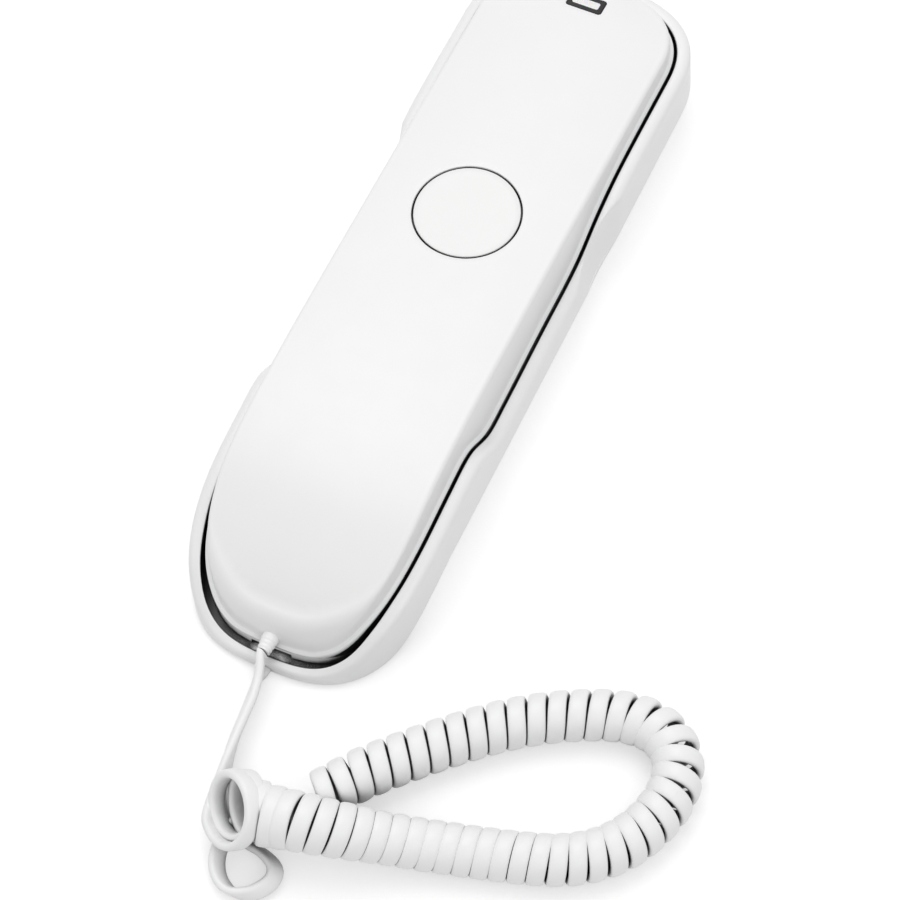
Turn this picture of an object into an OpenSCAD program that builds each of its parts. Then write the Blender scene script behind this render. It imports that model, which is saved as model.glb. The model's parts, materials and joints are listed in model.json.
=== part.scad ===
// Slim corded telephone: keypad handset lying face down in its cradle, with a curly cord.
// Millimetres. +Z up, +Y towards the earpiece end, +X to the right.
// The origin is on the surface that the base stands on, under the middle of the base.

/* [Base] */
// Length of the base, end to end
base_length = 208; // [206:1:212]
// Width of the base at its widest line
base_width = 62; // [61:0.5:64]
// Thickness of the rim around the cradle
rim_width = 3.2; // [3:0.1:3.4]
// Height of the rim beside the earpiece
rim_high = 25; // [24:0.5:26]
// Height of the rim where the sides dip for the fingers
rim_dip = 18.5; // [18:0.25:19.5]
// Thickness of the plastic walls of the base
base_wall = 2.2; // [2:0.1:2.4]
// Thickness of the bottom plate
plate_thick = 2; // [1.8:0.1:2.2]

/* [Handset] */
// Gap between the handset and the cradle rim
cradle_gap = 1; // [0.8:0.1:1.2]
// Greatest height of the handset back above the surface
handset_top = 36; // [35:0.5:37]
// Wall thickness of the handset shells
shell_wall = 2; // [1.8:0.1:2.2]
// Diameter of the round inset in the handset back
inset_d = 27.2; // [25:0.2:29]
// Place of the round inset along the handset
inset_y = 17; // [12:0.1:18]

/* [Keypad] */
// Width of a digit key
key_w = 11; // [10:0.5:11.5]
// Height of a digit key
key_h = 8; // [7:0.5:8.5]
// Distance between key columns
key_pitch_x = 14; // [13.5:0.5:14]
// Distance between key rows
key_pitch_y = 11.5; // [11:0.5:11.5]
// How far a key goes in when pressed
key_travel = 1.2; // [1:0.1:1.2]

/* [Switches] */
// Diameter of the hook-switch plunger
plunger_d = 6; // [5:0.5:6]
// Rise of the plunger when the handset is lifted
plunger_rise = 3.2; // [2.5:0.1:3.2]

/* [Cord] */
// Outer diameter of the curled part of the cord
coil_d = 12.6; // [11:0.2:13]
// Thickness of the straight leads at the two ends
cord_t = 2.4; // [2:0.1:2.4]

/* [Hidden] */

eps = 0.01;
half_l = base_length / 2;
half_w = base_width / 2;

// ---- plan outline ------------------------------------------------------------------
// Both ends are superellipses: a long full one at the mouthpiece, a short one on top.
low_depth = 48;
low_power = 3.0;
high_depth = 25;
high_power = 2.6;
end_steps = 30;

function signed_pow(v, p) = sign(v) * pow(abs(v), p);

// Outline of the base pulled in by a distance, as a closed list of points.
function plan(inset) =
    let (w = half_w - inset, h = half_l - inset, dl = low_depth - inset, dh = high_depth - inset)
    concat(
        [for (i = [0:end_steps]) let (t = 180 * i / end_steps)
            [w * signed_pow(cos(t), 2 / high_power),
             h - dh + dh * signed_pow(sin(t), 2 / high_power)]],
        [for (i = [0:end_steps]) let (t = 180 + 180 * i / end_steps)
            [w * signed_pow(cos(t), 2 / low_power),
             -h + dl + dl * signed_pow(sin(t), 2 / low_power)]]);

// ---- side-view curves --------------------------------------------------------------
// A curve is a short list of [y, z] knots, joined by cubic pieces with a common slope.
function slope(k, i) =
    let (a = max(i - 1, 0), b = min(i + 1, len(k) - 1)) (k[b][1] - k[a][1]) / (k[b][0] - k[a][0]);
function piece(k, y, i = 0) = i >= len(k) - 2 || y <= k[i + 1][0] ? i : piece(k, y, i + 1);
function height(k, y) =
    let (i = piece(k, y), h = k[i + 1][0] - k[i][0], t = (y - k[i][0]) / h,
         m0 = slope(k, i) * h, m1 = slope(k, i + 1) * h)
    (2 * pow(t, 3) - 3 * pow(t, 2) + 1) * k[i][1] + (pow(t, 3) - 2 * pow(t, 2) + t) * m0
    + (3 * pow(t, 2) - 2 * pow(t, 3)) * k[i + 1][1] + (pow(t, 3) - pow(t, 2)) * m1;

curve_end = 106;
curve_step = 4;
function trace(k, up = 0) =
    [for (y = [-curve_end:curve_step / 2:curve_end]) [y, height(k, y) + up]];

// Top of the cradle rim: it dips for the fingers and steps up around the mouthpiece.
jog_low = -31;
jog_high = -41;
rim_low_end = 24.8;
rim_curve = [[-106, 4.2], [-102, 4.4], [-97, 8.4], [-90, 14.6], [-80, 19.4], [-68, 22.8], [-52, 24.8],
             [jog_high, rim_low_end], [jog_low, rim_dip], [-22, rim_dip - 0.6], [0, rim_dip],
             [22, rim_dip + 0.4], [36, rim_high - 2], [50, rim_high], [80, rim_high - 0.6],
             [106, rim_high - 1.5]];

// Lower edge of the cover, where the bottom plate begins; it runs to the surface at the low end.
seam_side = 9.5;
foot_gap = 1;
edge_curve = [[-106, foot_gap], [-88, foot_gap], [-80, 4], [-72, 7.2], [-62, seam_side],
              [-58, seam_side], [106, seam_side]];

// Floor of the cradle, and the underside of the handset a little above it.
floor_mid = 14.2;
floor_top = 12.8;
floor_low = 3;
floor_curve = [[-106, floor_low], [-96, floor_low], [-86, 4.6], [-74, 8], [-60, 12], [-48, floor_mid],
               [-40, floor_mid], [58, floor_mid], [62, floor_mid], [70, floor_top], [74, floor_top],
               [106, floor_top]];
rest_gap = 0.6;
floor_thick = 2;

// Seam between the two handset shells, and the top of the handset back.
shell_seam_curve = [[-106, 6.2], [-94, 6.6], [-84, 9], [-72, 12.4], [-60, 15.6], [-46, 17.4],
                    [-42, 17.4], [106, 17.4]];
nose_end = half_l - rim_width - cradle_gap;
back_curve = [[-nose_end - 0.4, 7.4], [-nose_end + 0.4, 11.2], [-96, 15.8], [-90, 21.2], [-80, 27.4],
              [-68, 32.5], [-54, 35.3], [-40, handset_top], [-20, handset_top - 0.1],
              [15, handset_top - 1.2], [50, handset_top - 2.6], [80, handset_top - 4.2],
              [94, handset_top - 5.6], [nose_end - 1.2, handset_top - 7.4],
              [nose_end + 1, handset_top - 10.5]];

// ---- shared shapes -----------------------------------------------------------------
smooth = 48;

// Solid between two side-view point lists, running across the full width.
module side_band(low_points, high_points, half = 40) {
    count = len(high_points);
    translate([-half, 0, 0])
        rotate([90, 0, 90])
            linear_extrude(2 * half)
                polygon(concat(low_points, [for (i = [count - 1:-1:0]) high_points[i]]));
}

module prism(inset, z0, z1) {
    translate([0, 0, z0])
        linear_extrude(z1 - z0)
            polygon(plan(inset));
}

module block(x0, x1, y0, y1, z0, z1) {
    translate([x0, y0, z0])
        cube([x1 - x0, y1 - y0, z1 - z0]);
}

module post(x, y, z0, z1, d) {
    translate([x, y, z0])
        cylinder(h = z1 - z0, d = d, $fn = smooth);
}

module rounded_slab(w, h, r, z0, z1) {
    translate([0, 0, z0])
        linear_extrude(z1 - z0) {
            square([w - 2 * r, h], center = true);
            square([w, h - 2 * r], center = true);
            for (sx = [-1, 1], sy = [-1, 1])
                translate([sx * (w / 2 - r), sy * (h / 2 - r)])
                    circle(r = r, $fn = smooth);
        }
}

function level(z) = [[-curve_end, z], [curve_end, z]];

// ---- places shared by pieces that meet ----------------------------------------------
plate_top = foot_gap + plate_thick;
plunger_y = 56;
plunger_fit = 0.05;
boss_bore = plunger_d + 2 * plunger_fit;
board_z = plate_top + 1;
board_t = 1.2;
board_top = board_z + board_t;
base_screw_xy = [[-14, 86], [14, 86], [-18, -64], [18, -64]];
screw_d = 2.6;
screw_head_d = 5;
screw_floor = foot_gap + 1.5;
seat_top = plate_top + 1.4;
foot_xy = [[-18, 74], [18, 74], [-19, -52], [19, -52]];
foot_d = 9;
keyhole_y = [36, -47];
keyhole_d = 8.2;
keyhole_slot = 4.4;
keyhole_run = 7;
keyhole_room = 3.4;
jack_y = [66, 80];
jack_w = 12;
jack_z = [1.4, 10.6];
channel_w = 13;
sounder_y = -18;
sounder_d = 24;
groove_w = 6;
groove_top = 3.4;
hump_w = 9;
hump_top = 4.6;
grommet_y = [-84, -76];
solid_end = -70;
slide_y = 8;
knob_z = 6.6;
tab_y = 92;
key_well = [-26, 40];
well_w = 43;
well_floor = 12.6;
board_area = [-3, 64];
board_w = 38;
scoop_r = 40;
scoop_depth = 2.2;
scoop_y = 29;
scoop_z = 20;

// Hollow on each side where the fingers reach the handset.
module finger_scoops() {
    for (s = [-1, 1])
        translate([s * (half_w + scoop_r - scoop_depth), scoop_y, scoop_z])
            sphere(r = scoop_r, $fn = 96);
}

// ---- base --------------------------------------------------------------------------
module base_cover() {
    color("white") difference() {
        union() {
            difference() {
                intersection() {
                    prism(0, 0, 40);
                    side_band(trace(edge_curve), trace(rim_curve));
                }
                // Cradle pocket
                intersection() {
                    prism(rim_width, 0, 60);
                    side_band(trace(floor_curve), level(60));
                }
                // Room under the cradle floor
                intersection() {
                    prism(base_wall, -1, 40);
                    side_band(level(-2), trace(floor_curve, -floor_thick));
                    block(-40, 40, solid_end, 120, -2, 40);
                }
            }
            // Screw pillars
            intersection() {
                for (p = base_screw_xy)
                    post(p[0], p[1], seat_top, floor_mid, 6.4);
                side_band(level(plate_top), trace(floor_curve, -1));
            }
            // Guide of the plunger
            post(0, plunger_y, floor_mid - floor_thick - 0.2, floor_mid, 12);
            // Key well seen from below
            block(-well_w / 2 - 1.4, well_w / 2 + 1.4, key_well[0] - 1.4, key_well[1] + 1.4, 11, 13);
            // Hump over the cord groove
            intersection() {
                block(-hump_w / 2, hump_w / 2, -half_l, grommet_y[1], 0, hump_top);
                prism(0, 0, 40);
                side_band(trace(edge_curve), level(40));
            }
        }
        // Key well
        block(-well_w / 2, well_w / 2, key_well[0], key_well[1], well_floor, 20);
        // Groove for the cord and its grommet
        block(-groove_w / 2, groove_w / 2, -half_l - 1, grommet_y[1], 0, groove_top);
        finger_scoops();
        // Plunger bore
        post(0, plunger_y, 0, 30, boss_bore);
        // Slot of the wall hook tab
        block(-4, 4, tab_y - 4, tab_y + 1.2, 0, 30);
        // Screw pilots
        for (p = base_screw_xy)
            post(p[0], p[1], 0, height(floor_curve, p[1]) - 1, screw_d);
    }
}

taper_inset = 6;

module tray_form(inset, z0, z1) {
    hull() {
        prism(taper_inset + inset, z0, z0 + eps);
        prism(inset, z1 - eps, z1);
    }
}

module base_bottom() {
    color("white") difference() {
        union() {
            difference() {
                intersection() {
                    tray_form(0, foot_gap, seam_side);
                    side_band(level(0), trace(edge_curve));
                    block(-40, 40, grommet_y[0], 120, 0, 20);
                }
                intersection() {
                    tray_form(base_wall, plate_top, seam_side + 1);
                    block(-40, 40, grommet_y[1] + 1.6, 120, 0, 20);
                }
            }
            // Screw seats, keyhole rooms, board posts, jack walls
            for (p = base_screw_xy)
                post(p[0], p[1], plate_top - 0.5, seat_top, 8);
            for (y = keyhole_y)
                block(-7, 7, y - 6, y + keyhole_run + 4, plate_top - 0.5, plate_top + keyhole_room + 1);
            for (x = [-16, 16], y = [0, 50])
                post(x, y, plate_top - 0.5, board_z, 5);
            post(0, sounder_y, plate_top - 0.5, plate_top + 2.5, sounder_d + 3);
            for (s = [-1, 1])
                block(s * (jack_w / 2 + 0.8) - 0.7, s * (jack_w / 2 + 0.8) + 0.7, jack_y[0] - 1, jack_y[1],
                      plate_top - 0.5, jack_z[1] - 2.6);
        }
        // Sounder seat
        post(0, sounder_y, plate_top, 20, sounder_d);
        for (a = [0:60:300])
            post(7 * cos(a), sounder_y + 7 * sin(a), 0, 5, 2);
        // Screw holes with head pockets
        for (p = base_screw_xy) {
            post(p[0], p[1], 0, 10, screw_d + 0.5);
            post(p[0], p[1], 0, screw_floor, screw_head_d + 0.6);
        }
        // Foot pockets
        for (p = foot_xy)
            post(p[0], p[1], 0, foot_gap + 0.5, foot_d);
        // Wall keyholes
        for (y = keyhole_y) {
            post(0, y, 0, plate_top, keyhole_d);
            post(0, y + keyhole_run, 0, plate_top, keyhole_slot);
            block(-keyhole_slot / 2, keyhole_slot / 2, y, y + keyhole_run, 0, plate_top);
            block(-4.6, 4.6, y - 4.6, y + keyhole_run + 2.4, plate_top, plate_top + keyhole_room);
        }
        // Seat of the line jack, and the channel that its plug and cord lie in
        block(-jack_w / 2 - 0.1, jack_w / 2 + 0.1, jack_y[0] - 0.1, jack_y[1] + 0.1, 0, seam_side + 1);
        block(-channel_w / 2, channel_w / 2, jack_y[1], half_l + 1, 0, seam_side + 1);
        // Notch of the grommet
        block(-groove_w / 2, groove_w / 2, grommet_y[0] - 1, grommet_y[1], 0, 10);
        // Slot of the ringer switch
        block(-40, -20, slide_y - 7.4, slide_y + 7.4, knob_z - 1.5, knob_z + 1.5);
        finger_scoops();
    }
}

module base_board() {
    color("darkgreen") difference() {
        block(-board_w / 2, board_w / 2, board_area[0], board_area[1], board_z, board_top);
        // Room for the upper keyhole
        block(-7.5, 7.5, keyhole_y[0] - 6.5, keyhole_y[0] + keyhole_run + 4.5, 0, 20);
    }
    // Chips and a row of tall parts
    color("black") {
        block(4, 14, 10, 22, board_top - 0.1, board_top + 2);
        block(-16, -9, 18, 26, board_top - 0.1, board_top + 2);
        for (y = [4, 30, 37])
            post(13, y, board_top - 0.1, board_top + 4.4, 5);
    }
}

module ringer_sounder() {
    color("gold") difference() {
        post(0, sounder_y, plate_top, plate_top + 4.5, sounder_d);
        post(0, sounder_y, plate_top + 3.5, plate_top + 5, 3);
    }
}

// The flange stops under the cradle floor when the plunger is up.
plunger_flange = 1;
plunger_play = 0.2;
plunger_low = floor_mid - floor_thick - plunger_flange - plunger_rise - 2 * plunger_play;

module hook_plunger() {
    color("white") {
        post(0, plunger_y, plunger_low, floor_mid + rest_gap - 0.3, plunger_d);
        post(0, plunger_y, plunger_low, plunger_low + plunger_flange, 9);
        block(0, 9, plunger_y - 1.5, plunger_y + 1.5, plunger_low, plunger_low + plunger_flange);
    }
}

// Helical wire as one polyhedron of square rings.
spring_r = 3.3;
spring_wire = 0.5;
spring_turns = 3;
spring_steps = 18;

module hook_spring() {
    rings = spring_turns * spring_steps;
    z0 = board_top + spring_wire / 2;
    rise = plunger_low - spring_wire / 2 - z0;
    wire = [for (i = [0:rings]) let (a = 360 * i / spring_steps)
        for (c = [[-1, -1], [1, -1], [1, 1], [-1, 1]])
            let (r = spring_r + c[0] * spring_wire / 2)
            [r * cos(a), plunger_y + r * sin(a), z0 + rise * i / rings + c[1] * spring_wire / 2]];
    sides = [for (i = [0:rings - 1], j = [0:3])
        let (a = 4 * i + j, b = 4 * i + (j + 1) % 4) [a, b, b + 4, a + 4]];
    color("silver")
        polyhedron(wire, concat([[3, 2, 1, 0]], sides, [[for (j = [0:3]) 4 * rings + j]]), 10);
}

module hook_switch() {
    color("black") {
        block(5, 12, plunger_y - 3, plunger_y + 3, board_top, board_top + 1.9);
        block(7, 8.6, plunger_y - 1, plunger_y + 1, board_top + 1.8, plunger_low - 0.1);
    }
}

module line_jack() {
    color("white") difference() {
        block(-jack_w / 2, jack_w / 2, jack_y[0], jack_y[1], jack_z[0], jack_z[1]);
        block(-4.85, 4.85, jack_y[0] + 2, jack_y[1] + 1, jack_z[0] + 1.2, jack_z[1] - 1.4);
    }
}

module ballast_plate() {
    color("gray") difference() {
        block(-21, 21, -60, -32.5, plate_top, plate_top + 3);
        block(-7.3, 7.3, keyhole_y[1] - 6.5, -30, 0, 20);
        for (p = base_screw_xy)
            post(p[0], p[1], 0, 20, 8.4);
    }
}

module base_feet() {
    color("dimgray")
        for (p = foot_xy)
            post(p[0], p[1], 0, foot_gap + 0.5, foot_d);
}

module base_screws() {
    color("silver")
        for (p = base_screw_xy) {
            post(p[0], p[1], screw_floor - 1.3, screw_floor, screw_head_d);
            post(p[0], p[1], screw_floor, height(floor_curve, p[1]) - 1.6, screw_d);
        }
}

module wall_hook_tab() {
    color("white") {
        block(-3.9, 3.9, tab_y - 3.9, tab_y + 1.1, floor_top - floor_thick, floor_top);
        block(-5, 5, tab_y - 5, tab_y + 2.2, floor_top - floor_thick - 1, floor_top - floor_thick);
    }
}

module ringer_switch() {
    color("black")
        block(-23.6, -17.6, slide_y - 6, slide_y + 6, board_top, board_top + 3);
}

module ringer_switch_knob() {
    color("gray") difference() {
        block(-30.2, -23.9, slide_y - 4, slide_y + 4, knob_z - 1.2, knob_z + 1.2);
        for (i = [-2:2])
            block(-31, -29.8, slide_y + 1.4 * i - 0.3, slide_y + 1.4 * i + 0.3, 0, 20);
    }
}

module cord_grommet() {
    color("white")
        block(-groove_w / 2, groove_w / 2, grommet_y[0], grommet_y[1], foot_gap, groove_top);
}

// ---- handset -----------------------------------------------------------------------
handset_inset = rim_width + cradle_gap;
front_thick = 2;
handset_screw_xy = [[-17, 60], [17, 60], [-15, -52], [15, -52]];
pillar_joint = 18.8;
ear_y = 82;
ear_z = floor_top + rest_gap + front_thick;
speaker_d = 26;
mic_y = -84;
mic_z = height(floor_curve, mic_y) + rest_gap + 2.4;
mic_d = 9.7;
mat_z = 19;
mat_t = 1;
handset_board_z = mat_z + mat_t;
window_y = 90;
window_w = 10;
window_h = 5;
boot_z = 9;
boot_d = 5;
under_mid = floor_mid + rest_gap;

// Key names, columns counted from the handset user's left (+X), rows from the top.
digit_rows = 4;
key_top_y = 30;
function_y = -18;
function_h = 5.5;
key_stand = key_travel + 0.1;
key_gap = 0.3;
key_shoulder = under_mid + front_thick + 0.15;
function key_xy(col, row) = [(1 - col) * key_pitch_x, key_top_y - row * key_pitch_y];
function function_xy(col) = [(1 - col) * key_pitch_x, function_y];

module handset_back() {
    color("white") difference() {
        union() {
            difference() {
                intersection() {
                    prism(handset_inset, 0, 60);
                    side_band(trace(shell_seam_curve), trace(back_curve));
                }
                intersection() {
                    prism(handset_inset + shell_wall, 0, 60);
                    side_band(level(0), trace(back_curve, -shell_wall));
                    block(-40, 40, -nose_end + shell_wall, nose_end - shell_wall, 0, 60);
                }
            }
            // Screw pillars
            intersection() {
                for (p = handset_screw_xy)
                    post(p[0], p[1], pillar_joint, 40, 6);
                side_band(level(0), trace(back_curve, -1));
            }
            // Posts that hold the board down
            intersection() {
                for (x = [-18, 18], y = [-30, 40])
                    post(x, y, handset_board_z + board_t, 40, 4);
                side_band(level(0), trace(back_curve, -1));
            }
            // Seat of the round inset and of the lamp window
            post(0, inset_y, height(back_curve, inset_y) - 4, height(back_curve, inset_y) - 0.6, inset_d + 3);
            block(-window_w / 2 - 2, window_w / 2 + 2, window_y - 5, window_y + 5, 26.5, 29);
        }
        // Recess of the round inset
        post(0, inset_y, height(back_curve, inset_y) - 2.4, 60, inset_d + 0.6);
        // Lamp window
        block(-window_w / 2, window_w / 2, window_y - window_h / 2, window_y + window_h / 2, 20, 60);
        // Pilots
        for (p = handset_screw_xy)
            post(p[0], p[1], 10, 29, screw_d);
        // Hole of the cord boot
        translate([0, -nose_end - 2, boot_z])
            rotate([-90, 0, 0])
                cylinder(h = 8, d = boot_d + 0.2, $fn = smooth);
    }
}

module key_hole(p, w, h) {
    translate([p[0], p[1], 0])
        rounded_slab(w + 2 * key_gap, h + 2 * key_gap, 2.2, 0, 30);
}

module handset_front() {
    color("white") difference() {
        union() {
            difference() {
                intersection() {
                    prism(handset_inset, 0, 60);
                    side_band(trace(floor_curve, rest_gap), trace(shell_seam_curve));
                }
                intersection() {
                    prism(handset_inset + shell_wall, 0, 60);
                    side_band(trace(floor_curve, rest_gap + front_thick), level(60));
                }
            }
            // Screw pillars, board posts, speaker cup and microphone cup
            intersection() {
                union() {
                    for (p = handset_screw_xy)
                        post(p[0], p[1], 0, pillar_joint, 7);
                    for (x = [-18, 18], y = [-30, 40])
                        post(x, y, 0, handset_board_z, 4);
                    post(0, ear_y, 0, ear_z + 2, speaker_d + 3);
                    post(0, mic_y, 0, mic_z + 2.4, mic_d + 4.4);
                }
                side_band(trace(floor_curve, rest_gap + 1), level(60));
            }
        }
        post(0, ear_y, ear_z, 30, speaker_d + 0.2);
        post(0, mic_y, mic_z, 30, mic_d + 2);
        // Earpiece holes: one in the middle and two rings
        post(0, ear_y, 0, 30, 2);
        for (a = [0:60:300])
            post(4 * cos(a), ear_y + 4 * sin(a), 0, 20, 2);
        for (a = [0:30:330])
            post(8 * cos(a), ear_y + 8 * sin(a), 0, 20, 2);
        // Microphone holes
        for (x = [-2.5, 0, 2.5])
            post(x, mic_y, 0, 20, 1.4);
        // Keys
        for (col = [0:2], row = [0:digit_rows - 1])
            key_hole(key_xy(col, row), key_w, key_h);
        for (col = [0:2])
            key_hole(function_xy(col), key_w, function_h);
        // Screws from below
        for (p = handset_screw_xy) {
            post(p[0], p[1], 0, 30, screw_d + 0.5);
            post(p[0], p[1], 0, height(floor_curve, p[1]) + rest_gap + 1.8, screw_head_d + 0.6);
        }
        // Room for the hump of the cradle and for the cord boot
        block(-hump_w / 2 - 1, hump_w / 2 + 1, -nose_end - 1, grommet_y[1] + 2, 0, hump_top + rest_gap);
        translate([0, -nose_end - 2, boot_z])
            rotate([-90, 0, 0])
                cylinder(h = 8, d = boot_d + 0.2, $fn = smooth);
    }
}

module round_inset() {
    color("white") intersection() {
        post(0, inset_y, height(back_curve, inset_y) - 2.4, 60, inset_d);
        side_band(level(0), trace(back_curve, -0.1));
    }
}

module lamp_window() {
    color("lightgray") intersection() {
        block(-window_w / 2 + 0.1, window_w / 2 - 0.1, window_y - window_h / 2 + 0.1,
              window_y + window_h / 2 - 0.1, 27.4, 60);
        side_band(level(0), trace(back_curve, -0.3));
    }
}

module lamp_led() {
    color("red") {
        post(0, window_y, 25, 27.4, 3);
        block(-1.5, 1.5, window_y - 2, window_y + 2, 24.4, 25.2);
    }
}

module earpiece_speaker() {
    color("gray") {
        post(0, ear_y, ear_z + 1, ear_z + 4.4, speaker_d);
        post(0, ear_y, ear_z + 4.3, ear_z + 8, 13);
    }
}

module earpiece_gasket() {
    color("black") difference() {
        post(0, ear_y, ear_z, ear_z + 1, speaker_d);
        post(0, ear_y, ear_z - 1, ear_z + 2, speaker_d - 6);
    }
}

module microphone() {
    color("silver")
        post(0, mic_y, mic_z + 0.6, mic_z + 5.6, mic_d);
}

module microphone_boot() {
    color("black") difference() {
        post(0, mic_y, mic_z, mic_z + 5, mic_d + 2);
        post(0, mic_y, mic_z + 0.6, mic_z + 6, mic_d);
        for (x = [-2.5, 0, 2.5])
            post(x, mic_y, 0, 20, 1.4);
    }
}

module handset_board() {
    color("darkgreen")
        block(-21, 21, -44, 54, handset_board_z, handset_board_z + board_t);
    color("black") {
        block(-6, 6, -10, 6, handset_board_z + 1.1, handset_board_z + 3.2);
        post(12, 20, handset_board_z + 1.1, handset_board_z + 6, 5);
        post(-12, 20, handset_board_z + 1.1, handset_board_z + 6, 5);
    }
}

module keypad_mat() {
    color("dimgray")
        block(-21, 21, key_well[0] + 2, key_well[1] - 4, mat_z, mat_z + mat_t);
}

module handset_screws() {
    color("silver")
        for (p = handset_screw_xy) {
            seat = height(floor_curve, p[1]) + rest_gap + 1.8;
            post(p[0], p[1], seat - 1.3, seat, screw_head_d);
            post(p[0], p[1], seat, 26, screw_d);
        }
}

module cord_boot() {
    color("white")
        translate([0, -nose_end, boot_z])
            rotate([90, 0, 0]) {
                cylinder(h = 3.4, d1 = boot_d - 0.2, d2 = 3.4, $fn = smooth);
                translate([0, 0, -2.4])
                    cylinder(h = 2.5, d = boot_d, $fn = smooth);
                translate([0, 0, -4.4])
                    cylinder(h = 2.1, d = boot_d + 1.4, $fn = smooth);
            }
}

// ---- keys --------------------------------------------------------------------------
module key(p, h) {
    color("whitesmoke")
        translate([p[0], p[1], 0]) {
            rounded_slab(key_w, h, 2, under_mid - key_stand, key_shoulder + 0.1);
            rounded_slab(key_w + 1.6, h + 1.6, 2, key_shoulder, key_shoulder + 0.6);
        }
}

module key_1() { key(key_xy(0, 0), key_h); }
module key_2() { key(key_xy(1, 0), key_h); }
module key_3() { key(key_xy(2, 0), key_h); }
module key_4() { key(key_xy(0, 1), key_h); }
module key_5() { key(key_xy(1, 1), key_h); }
module key_6() { key(key_xy(2, 1), key_h); }
module key_7() { key(key_xy(0, 2), key_h); }
module key_8() { key(key_xy(1, 2), key_h); }
module key_9() { key(key_xy(2, 2), key_h); }
module key_star() { key(key_xy(0, 3), key_h); }
module key_0() { key(key_xy(1, 3), key_h); }
module key_hash() { key(key_xy(2, 3), key_h); }
module key_flash() { key(function_xy(0), function_h); }
module key_redial() { key(function_xy(1), function_h); }
module key_mute() { key(function_xy(2), function_h); }

// ---- cord --------------------------------------------------------------------------
// Routes in order along the cord, from the handset to the base.
handset_lead = [[0, -103.6, 9], [0, -104.4, 9], [0.7, -106.2, 8.4], [1.6, -109.4, 7.4], [2.5, -114.1, 7],
                [2.9, -119.2, 6.9], [3.4, -124.4, 7], [4.2, -129.6, 7.1], [5.3, -135, 7.2], [7.4, -140.4, 8],
                [9.4, -144.4, 9.6], [10.8, -146, 10.8]];
coil_axis = [[13, -145.5, 14.6], [15.4, -144.2, 13.6], [18.8, -143.2, 13.4], [23.6, -142.6, 14.2],
             [29.4, -141.6, 14.8], [37.3, -139.5, 13.4], [48.3, -135.6, 10], [59, -131.9, 7.4],
             [70, -128.5, 6.4], [80, -125.5, 6.4], [88, -122.5, 6.4], [95, -118, 6.4], [100, -112.5, 6.4],
             [103.5, -105.5, 6.4], [105.2, -98, 6.4], [104.4, -91, 6.4], [101, -85.5, 6.4],
             [95, -82.4, 6.4], [87.5, -82.6, 6.4], [79, -85.6, 6.4], [69, -91, 6.4], [60, -97.5, 6.4],
             [51, -105.5, 6.4], [42, -114.5, 6.4], [35.2, -122, 6.4], [31.2, -127.6, 6.4],
             [28, -131.8, 6.4]];
base_lead = [[27.7, -132.2, 3.8], [25.2, -134.8, 3], [20, -138, 3.2], [15.8, -141.4, 4.4],
             [12.9, -145.8, 5.2], [12, -150.4, 3.8], [12.9, -154.8, 2.8], [15.8, -158.4, 2.6],
             [20, -159.8, 2.6], [24.4, -158, 2.8], [27, -154, 3], [26.2, -150.4, 3], [22, -148.2, 2.6],
             [17.2, -147.4, 2.2], [12.4, -145, 1.4], [8.6, -141, 1.4], [5.2, -136, 1.4], [3, -130, 1.4],
             [1.9, -124, 1.4], [1.2, -117, 1.4], [0.4, -110, 1.4], [-0.4, -104, 1.4], [-0.2, -98, 1.6],
             [0, -91, 1.8], [0, grommet_y[0], 1.8]];

// Tube of elliptical rings swept along a route; the width lies flat.
function unit(v) = v / norm(v);
function heading(r, i) = unit(r[min(i + 1, len(r) - 1)] - r[max(i - 1, 0)]);
tube_sides = 8;

module tube(route, w, t) {
    n = tube_sides;
    last = len(route) - 1;
    skin = [for (i = [0:last]) let (d = heading(route, i), side = unit([d[1], -d[0], 0]), up = cross(side, d))
        for (j = [0:n - 1]) let (a = 360 * j / n)
            route[i] + side * (w / 2 * cos(a)) + up * (t / 2 * sin(a))];
    walls = [for (i = [0:last - 1], j = [0:n - 1])
        let (a = n * i + j, b = n * i + (j + 1) % n) [a, b, b + n, a + n]];
    polyhedron(skin, concat([[for (j = [n - 1:-1:0]) j]], walls, [[for (j = [0:n - 1]) n * last + j]]), 10);
}

module cord_handset_lead() {
    color("white") tube(handset_lead, cord_t, cord_t);
}

module cord_coil() {
    color("white") tube(coil_axis, coil_d, coil_d);
}

module cord_base_lead() {
    color("white") tube(base_lead, cord_t, cord_t);
}

base_cover();
base_bottom();
base_board();
ringer_sounder();
hook_plunger();
hook_spring();
hook_switch();
line_jack();
ballast_plate();
base_feet();
base_screws();
wall_hook_tab();
ringer_switch();
ringer_switch_knob();
cord_grommet();
handset_back();
handset_front();
round_inset();
lamp_window();
lamp_led();
earpiece_speaker();
earpiece_gasket();
microphone();
microphone_boot();
handset_board();
keypad_mat();
handset_screws();
cord_boot();
key_1();
key_2();
key_3();
key_4();
key_5();
key_6();
key_7();
key_8();
key_9();
key_star();
key_0();
key_hash();
key_flash();
key_redial();
key_mute();
cord_handset_lead();
cord_coil();
cord_base_lead();
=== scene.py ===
import json
import math

import bpy
import numpy as np
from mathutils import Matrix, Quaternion, Vector
from mathutils.geometry import delaunay_2d_cdt


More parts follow.
